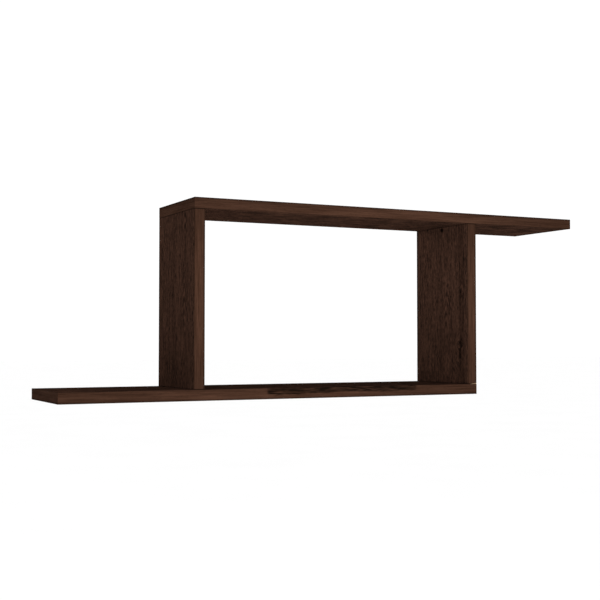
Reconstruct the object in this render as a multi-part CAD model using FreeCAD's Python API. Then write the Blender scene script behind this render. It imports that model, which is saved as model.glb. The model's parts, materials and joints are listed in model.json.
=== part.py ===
import FreeCAD, Part
import math
import os

from FreeCAD import Vector

# A Z-shaped wall shelf: two long boards, stepped sideways, joined by two uprights with
# cam locks, cam bolts and dowels, and hung on two keyhole plates let into the uprights' backs.
#
# Frame: +X along the shelf to the right, +Y towards the wall, +Z up. The origin is on the wall
# plane, midway between the round entries of the two keyholes. All lengths are in millimetres.

# ---- Driving dimensions ----------------------------------------------------------------------

BOARD_THICKNESS = 18.0       # standard faced chipboard
DEPTH = 170.0                # wall to front edge, bands included
LONG_BOARD_LENGTH = 762.0    # both long boards, end bands included
OVERHANG = 218.0             # how far each long board runs past the other
UPRIGHT_HEIGHT = 290.0       # clear height between the long boards

BAND_THICKNESS = 0.8         # edging on every visible edge
BAND_ARRIS = 0.4             # rounding of a band's long outer edges
FOOT_GAP = 1.8               # how short the right upright's front band is cut at its foot
FOOT_GAP_START = 3.0         # where along the foot that crooked cut begins

DRILL_ROWS = 32.0            # spacing of the joint holes along the depth
CAM_FROM_EDGE = 37.0         # cams, from the front and back edges
CAM_FROM_END = 34.0          # cams, from an upright's end

CAM_HOLE_RADIUS = 7.5
CAM_HOLE_DEPTH = 13.8
CAM_RADIUS = 7.45            # runs in its hole with 0.05 mm round it
CAM_DEPTH = 13.3             # from the upright's face to the cam's inner end
CAM_RECESS = 0.2             # the cam's face sits this far below the upright's face
CHAMBER_RADIUS = 4.9         # hollow that holds the bolt's ball
CHAMBER_OFFSET = 0.5         # eccentricity that draws the ball in as the cam turns
CHAMBER_HEIGHT = 7.0
JAW_SLOT_WIDTH = 3.8         # path of the bolt's neck through the cam's wall
JAW_SLOT_SWEEP = 180.0       # from locked to open, in degrees
JAW_SLOT_MARGIN = 45.0       # slot past the locked place, which clears the ball
ENTRY_RADIUS = 3.45          # lets the ball out when the cam is open
DRIVE_DEPTH = 3.2            # cross recess in the cam's face
DRIVE_LENGTH = 7.6
DRIVE_WIDTH = 1.4
DRIVE_CORE_RADIUS = 1.7
ARROW_DEPTH = 0.4            # sunk arrow head that points to the cam's entry
ARROW_LENGTH = 1.7
ARROW_WIDTH = 3.0
ARROW_FROM_RIM = 0.9

BOLT_THREAD_RADIUS = 3.5
BOLT_THREAD_LENGTH = 11.0
BOLT_CHAMFER = 1.0           # lead of the thread, and the taper from stem to neck
BOLT_COLLAR_RADIUS = 3.8
BOLT_COLLAR_LENGTH = 2.0
BOLT_STEM_RADIUS = 2.6
BOLT_NECK_RADIUS = 1.6
BOLT_BALL_RADIUS = 3.3
BOLT_BALL_OFFSET = 1.65      # ball centre from the cam's axis, towards the long board
BOLT_BORE_RADIUS = 4.0       # bore in the upright's end
CAM_TO_STEM = 8.2            # the neck is slim up to here, so the cam clears the stem

DOWEL_RADIUS = 4.0
DOWEL_IN_BOARD = 11.0
DOWEL_IN_UPRIGHT = 19.0
DOWEL_CHAMFER = 0.8
DOWEL_FLUTES = 12
FLUTE_RADIUS = 0.45

PLATE_WIDTH = 15.0           # keyhole hanger plate
PLATE_LENGTH = 52.0
PLATE_THICKNESS = 1.5
PLATE_FROM_TOP = 14.0        # from the upright's top to the plate's top
PLATE_CLEARANCE = 0.05       # round the plate, in the band's window and the upright's rebate
KEYHOLE_ENTRY_RADIUS = 4.5
KEYHOLE_SLOT_WIDTH = 4.6
KEYHOLE_ENTRY_DROP = 5.0     # entry centre below the plate's centre
KEYHOLE_REST_RISE = 6.0      # centre of the slot's upper end above the plate's centre
POCKET_WIDTH = 11.0          # room for the wall screw's head behind the plate
POCKET_HEIGHT = 22.0
POCKET_RISE = 0.5            # pocket centre above the plate's centre
POCKET_DEPTH = 10.0          # from the wall plane
PLATE_SCREW_SPACING = 42.0

SCREW_HEAD_RADIUS = 3.0      # countersunk 3 x 16 wood screw
SCREW_RADIUS = 1.5
SCREW_LENGTH = 16.0
SCREW_TIP = 3.0
SCREW_HOLE_RADIUS = 1.8
SCREW_SEAT_GAP = 0.05        # between the screw's 45-degree cone and its countersink
SCREW_DRIVE_DEPTH = 1.0
SCREW_DRIVE_LENGTH = 3.6
SCREW_DRIVE_WIDTH = 0.7

PEG_CLEARANCE = 0.02         # round glued and screwed pegs in their holes
HOLE_END_ROOM = 0.5          # past the end of each peg
OVERCUT = 1.0                # how far a cutting solid runs past the face it cuts through

# ---- Dimensions that follow ------------------------------------------------------------------

X = Vector(1, 0, 0)
Y = Vector(0, 1, 0)
Z = Vector(0, 0, 1)

SHELF_LENGTH = LONG_BOARD_LENGTH + OVERHANG
UPRIGHT_X = (LONG_BOARD_LENGTH - OVERHANG - BOARD_THICKNESS) / 2

PLATE_CENTRE_Z = KEYHOLE_ENTRY_DROP
UPRIGHT_TOP = PLATE_CENTRE_Z + PLATE_LENGTH / 2 + PLATE_FROM_TOP
UPRIGHT_FOOT = UPRIGHT_TOP - UPRIGHT_HEIGHT

CORE_FRONT = -DEPTH + BAND_THICKNESS
CORE_BACK = -BAND_THICKNESS

CAM_Y = (-DEPTH + CAM_FROM_EDGE, -CAM_FROM_EDGE)
DOWEL_Y = (CAM_Y[0] + DRILL_ROWS, CAM_Y[1] - DRILL_ROWS)
CAM_MID_DEPTH = BOARD_THICKNESS / 2

LONG_BOARDS = {
    "top_board": (-SHELF_LENGTH / 2 + OVERHANG, SHELF_LENGTH / 2, UPRIGHT_TOP),
    "bottom_board": (-SHELF_LENGTH / 2, SHELF_LENGTH / 2 - OVERHANG, UPRIGHT_FOOT - BOARD_THICKNESS),
}
UPRIGHTS = {"left": -UPRIGHT_X, "right": UPRIGHT_X}
# Each end of an upright: its height, and the way into the upright from it.
ENDS = {"top": (UPRIGHT_TOP, -1), "bottom": (UPRIGHT_FOOT, 1)}


# ---- Small helpers ---------------------------------------------------------------------------

def block(x, y, z):
    """A box from three (low, high) pairs."""
    low = Vector(x[0], y[0], z[0])
    return Part.makeBox(x[1] - x[0], y[1] - y[0], z[1] - z[0], low)


def rod(radius, start, direction, length):
    return Part.makeCylinder(radius, length, start, direction)


def centred(middle, width):
    return (middle - width / 2, middle + width / 2)


def round_ended(width, height, x, y, z):
    """An upright bar with half-round ends, seen along Y, that fills the (low, high) pair y."""
    straight = height - width
    bar = block(centred(x, width), y, centred(z, straight))
    for end in (-1, 1):
        centre = Vector(x, y[0], z + end * straight / 2)
        bar = bar.fuse(rod(width / 2, centre, Y, y[1] - y[0]))
    return bar.removeSplitter()


def turned(profile, base, direction):
    """Turns a list of (radius, height) points, with arcs as (via, end) pairs, round an axis."""
    points = [profile[0]]
    edges = []
    for step in profile[1:]:
        start = Vector(points[-1][0], 0, points[-1][1])
        if isinstance(step[0], tuple):
            via, end = step
            arc = Part.Arc(start, Vector(via[0], 0, via[1]), Vector(end[0], 0, end[1]))
            edges.append(arc.toShape())
            points.append(end)
        else:
            edges.append(Part.makeLine(start, Vector(step[0], 0, step[1])))
            points.append(step)
    first = Vector(points[0][0], 0, points[0][1])
    last = Vector(points[-1][0], 0, points[-1][1])
    edges.append(Part.makeLine(last, first))
    solid = Part.Face(Part.Wire(edges)).revolve(Vector(0, 0, 0), Z, 360)
    solid.Placement = FreeCAD.Placement(base, FreeCAD.Rotation(Z, direction))
    return solid


def save(node, *solids):
    shape = solids[0] if len(solids) == 1 else Part.makeCompound(list(solids))
    shape.exportStep("parts/" + node + ".step")


# ---- Boards ----------------------------------------------------------------------------------

def long_board(name):
    """The faced chipboard of a long board, drilled for the bolts and dowels of both uprights."""
    left, right, underside = LONG_BOARDS[name]
    span = (left + BAND_THICKNESS, right - BAND_THICKNESS)
    board = block(span, (CORE_FRONT, CORE_BACK), (underside, underside + BOARD_THICKNESS))
    face, inward = ENDS["top" if name == "top_board" else "bottom"]
    holes = []
    for x in UPRIGHTS.values():
        for y in CAM_Y:
            radius = BOLT_THREAD_RADIUS + PEG_CLEARANCE
            depth = BOLT_THREAD_LENGTH + HOLE_END_ROOM
            holes.append(rod(radius, Vector(x, y, face), Z * -inward, depth))
        for y in DOWEL_Y:
            radius = DOWEL_RADIUS + PEG_CLEARANCE
            depth = DOWEL_IN_BOARD + HOLE_END_ROOM
            holes.append(rod(radius, Vector(x, y, face), Z * -inward, depth))
    return board.cut(holes)


def upright(x):
    """An upright's faced chipboard: end bores, cam housings and the hanger's rebate and pocket."""
    board = block(centred(x, BOARD_THICKNESS), (CORE_FRONT, CORE_BACK), (UPRIGHT_FOOT, UPRIGHT_TOP))
    face = x + BOARD_THICKNESS / 2
    holes = []
    for end, inward in ENDS.values():
        for y in CAM_Y:
            holes.append(rod(BOLT_BORE_RADIUS, Vector(x, y, end), Z * inward, CAM_FROM_END))
            centre = Vector(face, y, end + inward * CAM_FROM_END)
            holes.append(rod(CAM_HOLE_RADIUS, centre, X * -1, CAM_HOLE_DEPTH))
        for y in DOWEL_Y:
            depth = DOWEL_IN_UPRIGHT + HOLE_END_ROOM
            holes.append(rod(DOWEL_RADIUS + PEG_CLEARANCE, Vector(x, y, end), Z * inward, depth))
    holes.append(plate_seat(x, (-PLATE_THICKNESS, 0)))
    pocket_z = PLATE_CENTRE_Z + POCKET_RISE
    holes.append(round_ended(POCKET_WIDTH, POCKET_HEIGHT, x, (-POCKET_DEPTH, 0), pocket_z))
    for z in plate_screw_heights():
        radius = SCREW_RADIUS + PEG_CLEARANCE
        holes.append(rod(radius, Vector(x, 0, z), Y * -1, SCREW_LENGTH + HOLE_END_ROOM))
    return board.cut(holes)


# ---- Edge bands ------------------------------------------------------------------------------

def with_arrises(band, axis, outward):
    """Rounds the long edges of a band's outer face; the edges run along axis."""
    outer = max(vertex.Point.dot(outward) for vertex in band.Vertexes)
    edges = []
    for edge in band.Edges:
        ends = [vertex.Point for vertex in edge.Vertexes]
        runs_along = abs((ends[1] - ends[0]).normalize().dot(axis)) > 0.999
        on_outer_face = all(abs(point.dot(outward) - outer) < 1e-6 for point in ends)
        if runs_along and on_outer_face:
            edges.append(edge)
    return band.makeFillet(BAND_ARRIS, edges)


def long_band(name, side):
    """A band over a long board's whole length; it covers the ends of the two end bands."""
    left, right, underside = LONG_BOARDS[name]
    y, outward = {
        "front": ((-DEPTH, CORE_FRONT), Y * -1),
        "back": ((CORE_BACK, 0), Y),
    }[side]
    band = block((left, right), y, (underside, underside + BOARD_THICKNESS))
    return with_arrises(band, X, outward)


def end_band(name, side):
    left, right, underside = LONG_BOARDS[name]
    x, outward = {
        "left": ((left, left + BAND_THICKNESS), X * -1),
        "right": ((right - BAND_THICKNESS, right), X),
    }[side]
    band = block(x, (CORE_FRONT, CORE_BACK), (underside, underside + BOARD_THICKNESS))
    return with_arrises(band, Y, outward)


def upright_front_band(x):
    y = (-DEPTH, CORE_FRONT)
    band = block(centred(x, BOARD_THICKNESS), y, (UPRIGHT_FOOT, UPRIGHT_TOP))
    return with_arrises(band, Z, Y * -1)


def crooked_foot(x):
    """The sliver missing at the foot of the right upright's front band, which was cut askew."""
    right = x + BOARD_THICKNESS / 2
    corners = [
        Vector(right - BOARD_THICKNESS + FOOT_GAP_START, -DEPTH, UPRIGHT_FOOT),
        Vector(right, -DEPTH, UPRIGHT_FOOT),
        Vector(right, -DEPTH, UPRIGHT_FOOT + FOOT_GAP),
    ]
    return Part.Face(Part.makePolygon(corners + corners[:1])).extrude(Y * BAND_THICKNESS)


def upright_back_band(x):
    """The back band, with a window where the hanger plate sits flush in it."""
    band = block(centred(x, BOARD_THICKNESS), (CORE_BACK, 0), (UPRIGHT_FOOT, UPRIGHT_TOP))
    band = with_arrises(band, Z, Y)
    return band.cut(plate_seat(x, (CORE_BACK, 0)))


# ---- Cam joints ------------------------------------------------------------------------------

def cam_wall_slot():
    """The sweep of the bolt's neck through the cam's wall, in the cam's own frame."""
    sweep = JAW_SLOT_SWEEP + JAW_SLOT_MARGIN
    base = Vector(0, 0, -JAW_SLOT_WIDTH / 2)
    ring = Part.makeCylinder(CAM_RADIUS + OVERCUT, JAW_SLOT_WIDTH, base, Z, sweep)
    ring.rotate(Vector(0, 0, 0), Z, -JAW_SLOT_SWEEP)
    return ring


def cam_drive():
    """Cross recess with a round core, cut down from height 0."""
    arms = [rod(DRIVE_CORE_RADIUS, Vector(0, 0, -DRIVE_DEPTH), Z, DRIVE_DEPTH)]
    for size in ((DRIVE_LENGTH, DRIVE_WIDTH), (DRIVE_WIDTH, DRIVE_LENGTH)):
        arms.append(block(centred(0, size[0]), centred(0, size[1]), (-DRIVE_DEPTH, 0)))
    return arms


def cam_arrow():
    """Sunk arrow head near the rim, on the side of the entry, cut down from height 0."""
    tip = CAM_RADIUS - ARROW_FROM_RIM
    base = tip - ARROW_LENGTH
    corners = [
        Vector(-tip, 0, -ARROW_DEPTH),
        Vector(-base, ARROW_WIDTH / 2, -ARROW_DEPTH),
        Vector(-base, -ARROW_WIDTH / 2, -ARROW_DEPTH),
    ]
    return Part.Face(Part.makePolygon(corners + corners[:1])).extrude(Z * ARROW_DEPTH)


def cam():
    """A cam lock in its own frame.

    The axis is Z, out of the upright's face; height 0 is the bolt's axis, and the locked bolt
    comes in along +X. The ball's chamber is off centre, so its wall stands nearest the axis on
    the locked side and furthest on the entry side.
    """
    face = CAM_MID_DEPTH - CAM_RECESS
    inner_end = CAM_MID_DEPTH - CAM_DEPTH
    body = rod(CAM_RADIUS, Vector(0, 0, inner_end), Z, face - inner_end)
    chamber_base = Vector(-CHAMBER_OFFSET, 0, -CHAMBER_HEIGHT / 2)
    cuts = [
        rod(CHAMBER_RADIUS, chamber_base, Z, CHAMBER_HEIGHT),
        rod(ENTRY_RADIUS, Vector(0, 0, 0), X * -1, CAM_RADIUS + OVERCUT),
        cam_wall_slot(),
    ]
    face_cuts = cam_drive() + [cam_arrow()]
    for cut in face_cuts:
        cut.translate(Z * face)
    return body.cut(cuts + face_cuts)


def placed_cam(x, y, end, inward):
    """Stands the cam in its housing; the bolt's side of the cam faces the upright's end."""
    centre = Vector(x, y, end + inward * CAM_FROM_END)
    solid = cam()
    rotation = FreeCAD.Rotation(Z * -inward, Y * inward, X, "ZXY")
    solid.Placement = FreeCAD.Placement(centre, rotation)
    return solid


def cam_bolt(x, y, end, inward):
    """Thread in the long board, collar, stem, slim neck, and a ball in the cam's chamber."""
    ball_z = CAM_FROM_END - BOLT_BALL_OFFSET
    neck_rise = math.sqrt(BOLT_BALL_RADIUS**2 - BOLT_NECK_RADIUS**2)
    stem_end = CAM_FROM_END - CAM_TO_STEM
    profile = [
        (0, -BOLT_THREAD_LENGTH),
        (BOLT_THREAD_RADIUS - BOLT_CHAMFER, -BOLT_THREAD_LENGTH),
        (BOLT_THREAD_RADIUS, -BOLT_THREAD_LENGTH + BOLT_CHAMFER),
        (BOLT_THREAD_RADIUS, 0),
        (BOLT_COLLAR_RADIUS, 0),
        (BOLT_COLLAR_RADIUS, BOLT_COLLAR_LENGTH),
        (BOLT_STEM_RADIUS, BOLT_COLLAR_LENGTH),
        (BOLT_STEM_RADIUS, stem_end - BOLT_CHAMFER),
        (BOLT_NECK_RADIUS, stem_end),
        (BOLT_NECK_RADIUS, ball_z - neck_rise),
        ((BOLT_BALL_RADIUS, ball_z), (0, ball_z + BOLT_BALL_RADIUS)),
    ]
    return turned(profile, Vector(x, y, end), Z * inward)


def dowel(x, y, end, inward):
    """Fluted beech dowel with chamfered ends, across the joint."""
    r = DOWEL_RADIUS
    low = -DOWEL_IN_BOARD
    high = DOWEL_IN_UPRIGHT
    c = DOWEL_CHAMFER
    profile = [(0, low), (r - c, low), (r, low + c), (r, high - c), (r - c, high), (0, high)]
    peg = turned(profile, Vector(x, y, end), Z * inward)
    flutes = []
    for i in range(DOWEL_FLUTES):
        angle = 2 * math.pi * i / DOWEL_FLUTES
        foot = Vector(x + r * math.cos(angle), y + r * math.sin(angle), end + inward * low)
        flutes.append(rod(FLUTE_RADIUS, foot, Z * inward, high - low))
    return peg.cut(flutes)


# ---- Hangers ---------------------------------------------------------------------------------

def plate_seat(x, y):
    """The room that a hanger plate takes in the wood, over the (low, high) pair y."""
    room = 2 * PLATE_CLEARANCE
    return round_ended(PLATE_WIDTH + room, PLATE_LENGTH + room, x, y, PLATE_CENTRE_Z)


def plate_screw_heights():
    return (PLATE_CENTRE_Z - PLATE_SCREW_SPACING / 2, PLATE_CENTRE_Z + PLATE_SCREW_SPACING / 2)


def hanger_plate(x):
    """Steel keyhole plate: round entry, slot up to the resting place, two countersunk holes."""
    plate = round_ended(PLATE_WIDTH, PLATE_LENGTH, x, (-PLATE_THICKNESS, 0), PLATE_CENTRE_Z)
    entry = Vector(x, -PLATE_THICKNESS, PLATE_CENTRE_Z - KEYHOLE_ENTRY_DROP)
    rest_z = PLATE_CENTRE_Z + KEYHOLE_REST_RISE
    through = (-PLATE_THICKNESS, 0)
    slot_middle = (entry.z + rest_z) / 2
    slot_length = rest_z - entry.z + KEYHOLE_SLOT_WIDTH
    cuts = [
        rod(KEYHOLE_ENTRY_RADIUS, entry, Y, PLATE_THICKNESS),
        round_ended(KEYHOLE_SLOT_WIDTH, slot_length, x, through, slot_middle),
    ]
    for z in plate_screw_heights():
        cuts.append(rod(SCREW_HOLE_RADIUS, Vector(x, -PLATE_THICKNESS, z), Y, PLATE_THICKNESS))
        wide = SCREW_HEAD_RADIUS + SCREW_SEAT_GAP * math.sqrt(2)
        cuts.append(Part.makeCone(wide, 0, wide, Vector(x, 0, z), Y * -1))
    return plate.cut(cuts)


def plate_screw(x, z):
    """Countersunk wood screw, driven in from the wall side, its head flush with the plate."""
    neck = SCREW_HEAD_RADIUS - SCREW_RADIUS
    profile = [
        (0, 0),
        (SCREW_HEAD_RADIUS, 0),
        (SCREW_RADIUS, neck),
        (SCREW_RADIUS, SCREW_LENGTH - SCREW_TIP),
        (0, SCREW_LENGTH),
    ]
    screw = turned(profile, Vector(x, 0, z), Y * -1)
    recess = []
    for size in ((SCREW_DRIVE_LENGTH, SCREW_DRIVE_WIDTH), (SCREW_DRIVE_WIDTH, SCREW_DRIVE_LENGTH)):
        recess.append(block(centred(x, size[0]), (-SCREW_DRIVE_DEPTH, 0), centred(z, size[1])))
    return screw.cut(recess)


# ---- The shelf -------------------------------------------------------------------------------

def main():
    os.makedirs("parts", exist_ok=True)
    for name in LONG_BOARDS:
        save(name, long_board(name))
        for side in ("front", "back"):
            save(name + "_" + side + "_band", long_band(name, side))
        for side in ("left", "right"):
            save(name + "_" + side + "_band", end_band(name, side))
    for side, x in UPRIGHTS.items():
        save(side + "_upright", upright(x))
        front = upright_front_band(x)
        if side == "right":
            front = front.cut(crooked_foot(x))
        save(side + "_upright_front_band", front)
        save(side + "_upright_back_band", upright_back_band(x))
        save(side + "_hanger_plate", hanger_plate(x))
        save(side + "_hanger_screws", *[plate_screw(x, z) for z in plate_screw_heights()])
        for end_name, (end, inward) in ENDS.items():
            joint = side + "_" + end_name
            for place, y in zip(("front", "back"), CAM_Y):
                save(joint + "_" + place + "_cam", placed_cam(x, y, end, inward))
            save(joint + "_cam_bolts", *[cam_bolt(x, y, end, inward) for y in CAM_Y])
            save(joint + "_dowels", *[dowel(x, y, end, inward) for y in DOWEL_Y])


main()
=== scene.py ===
import json
import math

import bmesh
import bpy
from mathutils import Matrix, Vector


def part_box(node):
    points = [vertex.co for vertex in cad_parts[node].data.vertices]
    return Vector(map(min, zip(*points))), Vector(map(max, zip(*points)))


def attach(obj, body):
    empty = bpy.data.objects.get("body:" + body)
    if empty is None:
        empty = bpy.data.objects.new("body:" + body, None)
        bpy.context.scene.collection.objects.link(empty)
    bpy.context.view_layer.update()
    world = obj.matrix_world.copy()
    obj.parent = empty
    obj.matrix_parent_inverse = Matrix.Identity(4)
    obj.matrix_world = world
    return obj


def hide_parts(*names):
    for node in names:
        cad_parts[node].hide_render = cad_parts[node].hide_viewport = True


bl_info = {
    "name": "Stepped Wall Shelf",
    "version": (1, 0, 0),
    "blender": (4, 5, 0),
    "location": "View3D > Sidebar > Shelf",
    "description": "Dresses a Z-shaped wall shelf: boards, edging, cam joints and hangers",
    "category": "Object",
}

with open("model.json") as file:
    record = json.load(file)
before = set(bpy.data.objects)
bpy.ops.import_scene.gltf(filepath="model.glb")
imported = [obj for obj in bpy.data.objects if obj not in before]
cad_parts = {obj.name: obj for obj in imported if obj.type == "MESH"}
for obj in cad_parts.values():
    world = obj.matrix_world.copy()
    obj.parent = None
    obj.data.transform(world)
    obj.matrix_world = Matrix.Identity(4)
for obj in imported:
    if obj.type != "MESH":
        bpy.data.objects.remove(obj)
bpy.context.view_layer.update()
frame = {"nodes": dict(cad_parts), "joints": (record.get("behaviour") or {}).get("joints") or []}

# ---- What the shelf is made of ---------------------------------------------------------------

MM = 0.001
TINY = 1e-7                   # metres, below which two vertices are one
ROOT = "shelf"
LONG_BOARDS = ("top_board", "bottom_board")
UPRIGHTS = ("left_upright", "right_upright")
AXES = {"X": Vector((1, 0, 0)), "Y": Vector((0, 1, 0)), "Z": Vector((0, 0, 1))}

JOINTS = {joint["child"]: joint for joint in frame["joints"]}


def middle(node):
    low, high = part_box(node)
    return (low + high) / 2


def upright_of(node):
    return node.split("_")[0] + "_upright"


def corner_of(node):
    """Which end of which upright a joint's fitting is at: its centre line and inward direction."""
    low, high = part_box(upright_of(node))
    at_top = "_top_" in node
    end = Vector(((low.x + high.x) / 2, 0, high.z if at_top else low.z))
    return end, -1 if at_top else 1


def cam_rows(node):
    """The two cams' places along the depth, at the joint that node belongs to."""
    joint = "_".join(node.split("_")[:2])
    return [JOINTS[joint + place]["pos_m"][1] for place in ("_front_cam", "_back_cam")]


# ---- Settings --------------------------------------------------------------------------------

def colour(name, description, default):
    return bpy.props.FloatVectorProperty(
        name=name, description=description, default=default, subtype="COLOR", size=3, min=0, max=1
    )


def length(name, description, default_mm):
    return bpy.props.FloatProperty(
        name=name, description=description, default=default_mm * MM, unit="LENGTH", min=0,
        precision=5,
    )


def number(name, description, default):
    return bpy.props.FloatProperty(name=name, description=description, default=default, min=0)


class BoardSettings(bpy.types.PropertyGroup):
    light: colour("Print, light", "Lightest brown of the boards' facing", (0.052, 0.0248, 0.0161))
    dark: colour("Print, dark", "Darkest brown of the boards' facing", (0.0098, 0.0054, 0.0039))
    # pore_and_shade also colours the painted shade at the uprights' joints and back edges.
    pore_and_shade: colour("Pores", "Colour of the printed pores and knots", (0.0035, 0.0019, 0.0015))
    # Both core browns are the chipboard's own, darkened as painted shade for the recessed sliver of
    # core under the right upright's front band.
    core_light: colour("Core, light", "Palest chips in the board's core", (0.24, 0.17, 0.11))
    core_dark: colour("Core, dark", "Darkest chips in the board's core", (0.11, 0.07, 0.042))
    facing: length("Facing", "Thickness of the printed facing", 0.15)
    # joint_shade is how wide the painted shade is where an upright's face meets a long board.
    joint_shade: length("Joint line", "Dark line where an upright's face meets a long board", 1.8)


class BandSettings(bpy.types.PropertyGroup):
    light: colour("Edging, light", "Lightest brown of the edge bands", (0.038, 0.018, 0.0111))
    dark: colour("Edging, dark", "Darkest brown of the edge bands", (0.0185, 0.0083, 0.0049))
    # streak also colours the painted shade at the bands' joints and outer edges.
    streak: colour("Dark streak", "Darkest streaks, trims and joints", (0.0035, 0.0019, 0.0012))
    arris: length("Arris", "Rounding of the bands' long outer edges", 0.4)
    trim_line: length("Trim line", "Dark line along the bands' trimmed edges", 1.0)
    # edge_shade_width is the width of the painted shade along each band's outer edge.
    edge_shade_width: length("Trim shade", "Darker strip along each band's outer edge", 4.5)
    # Painted shade: long_end_shade and upright_end_shade are how far the bands darken towards their
    # ends.
    long_end_shade: length("Long fade", "How far the long bands darken from their ends", 270.0)
    upright_end_shade: length("Upright fade", "How far the uprights' bands darken from an end", 80.0)
    # joint_shade is how wide the dark trim line with painted shade is where an upright's band meets
    # a board.
    joint_shade: length("Joint line", "Dark line where an upright's band meets a board", 2.0)
    foot_gap: length("Foot gap", "How short the right upright's front band is at its foot", 1.8)
    foot_gap_start: length("Foot gap start", "Where the crooked cut at that foot begins", 3.0)


class FittingSettings(bpy.types.PropertyGroup):
    zinc: colour("Cast zinc", "Colour of the cam locks", (0.40, 0.40, 0.41))
    plating: colour("Zinc plating", "Colour of the plates, screws and bolts", (0.62, 0.63, 0.65))
    beech_light: colour("Beech, light", "Lightest colour of the dowels", (0.62, 0.42, 0.24))
    beech_dark: colour("Beech, dark", "Darkest colour of the dowels", (0.42, 0.25, 0.12))
    bolt_pitch: length("Bolt pitch", "Pitch of the cam bolts' coarse thread", 2.6)
    screw_pitch: length("Screw pitch", "Pitch of the hanger screws' thread", 1.35)


class StageSettings(bpy.types.PropertyGroup):
    floor_drop: length("Floor drop", "Floor below the origin", 1300.0)
    key_power: bpy.props.FloatProperty(
        name="Key light", description="Power of the large front light", default=39.0, min=0,
        unit="POWER",
    )
    surround: number("Surround", "Brightness of the white studio all round", 1.05)
    lens: bpy.props.FloatProperty(
        name="Lens", description="Camera focal length", default=66.76, min=1, unit="CAMERA"
    )


# ---- Mesh helpers ----------------------------------------------------------------------------

def cleaned(bm):
    """Merges doubles and turns every face outwards."""
    bmesh.ops.remove_doubles(bm, verts=bm.verts, dist=TINY)
    bmesh.ops.recalc_face_normals(bm, faces=bm.faces)
    return bm


def cuboid(low, high):
    bm = bmesh.new()
    made = bmesh.ops.create_cube(bm, size=1)
    bmesh.ops.scale(bm, vec=high - low, verts=made["verts"])
    bmesh.ops.translate(bm, vec=(high + low) / 2, verts=made["verts"])
    return bm


def cylinder(radius, start, direction, depth, segments=48, end_radius=None):
    """A cylinder, or a cone when end_radius is given, from start along direction."""
    bm = bmesh.new()
    made = bmesh.ops.create_cone(
        bm, cap_ends=True, segments=segments, radius1=radius,
        radius2=radius if end_radius is None else end_radius, depth=depth,
    )
    bmesh.ops.translate(bm, vec=(0, 0, depth / 2), verts=made["verts"])
    turn = AXES["Z"].rotation_difference(direction).to_matrix()
    bmesh.ops.rotate(bm, cent=(0, 0, 0), matrix=turn, verts=made["verts"])
    bmesh.ops.translate(bm, vec=start, verts=made["verts"])
    return bm


def turned(profile, steps=64):
    """Spins (radius, height) points round Z; both ends are on the axis."""
    bm = bmesh.new()
    verts = [bm.verts.new((r, 0, z)) for r, z in profile]
    edges = [bm.edges.new(pair) for pair in zip(verts, verts[1:])]
    bmesh.ops.spin(
        bm, geom=verts + edges, cent=(0, 0, 0), axis=(0, 0, 1), angle=2 * math.pi, steps=steps,
        use_merge=True,
    )
    return cleaned(bm)


def round_ended(width, height, depth, segments=24):
    """A bar with half-round ends, height along Z, reaching from y = 0 to y = -depth."""
    bm = bmesh.new()
    reach = (height - width) / 2
    ends = []
    for sign in (1, -1):
        start = bm.verts.new((sign * width / 2, 0, sign * reach))
        spun = bmesh.ops.spin(
            bm, geom=[start], cent=(0, 0, sign * reach), axis=(0, -1, 0), angle=math.pi,
            steps=segments,
        )
        last = next(item for item in spun["geom_last"] if isinstance(item, bmesh.types.BMVert))
        ends.append((start, last))
    bm.edges.new((ends[0][1], ends[1][0]))
    bm.edges.new((ends[1][1], ends[0][0]))
    face = bmesh.ops.contextual_create(bm, geom=bm.edges[:])["faces"]
    grown = bmesh.ops.extrude_face_region(bm, geom=face)["geom"]
    moved = [item for item in grown if isinstance(item, bmesh.types.BMVert)]
    bmesh.ops.translate(bm, vec=(0, -depth, 0), verts=moved)
    return cleaned(bm)


THREAD_SINK = 0.05 * MM       # how far a thread's foot is sunk in its shank


def thread(core, outer, start, end, pitch, steps=24):
    """One helical ridge round Z from height start to end, closed at both its ends."""
    foot = pitch * 0.32
    crest = pitch * 0.04
    bm = bmesh.new()
    section = [(core, -foot), (outer, -crest), (outer, crest), (core, foot)]
    verts = [bm.verts.new((r, 0, start + foot + z)) for r, z in section]
    face = bm.faces.new(verts)
    turns = (end - start - 2 * foot) / pitch
    count = int(turns * steps)
    bmesh.ops.spin(
        bm, geom=[face], cent=(0, 0, 0), axis=(0, 0, 1), angle=count / steps * 2 * math.pi,
        dvec=(0, 0, pitch / steps), steps=count,
    )
    return cleaned(bm)


def joined(*parts):
    """Puts several bmeshes into the first."""
    whole = parts[0]
    for part in parts[1:]:
        mesh = bpy.data.meshes.new("part")
        part.to_mesh(mesh)
        part.free()
        whole.from_mesh(mesh)
        bpy.data.meshes.remove(mesh)
    return whole


def scratch_object(bm):
    mesh = bpy.data.meshes.new("scratch")
    bm.to_mesh(mesh)
    bm.free()
    made = bpy.data.objects.new("scratch", mesh)
    bpy.context.scene.collection.objects.link(made)
    return made


def carved(body, cutters):
    """The body's bmesh with every cutter taken away from it."""
    body = scratch_object(body)
    tools = [scratch_object(cutter) for cutter in cutters]
    for tool in tools:
        step = body.modifiers.new("carve", "BOOLEAN")
        step.operation = "DIFFERENCE"
        step.solver = "EXACT"
        step.object = tool
    shaped = body.evaluated_get(bpy.context.evaluated_depsgraph_get())
    bm = bmesh.new()
    bm.from_mesh(shaped.to_mesh())
    shaped.to_mesh_clear()
    for made in [body] + tools:
        mesh = made.data
        bpy.data.objects.remove(made)
        bpy.data.meshes.remove(mesh)
    bmesh.ops.dissolve_degenerate(bm, dist=TINY, edges=bm.edges)
    return bm


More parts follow.
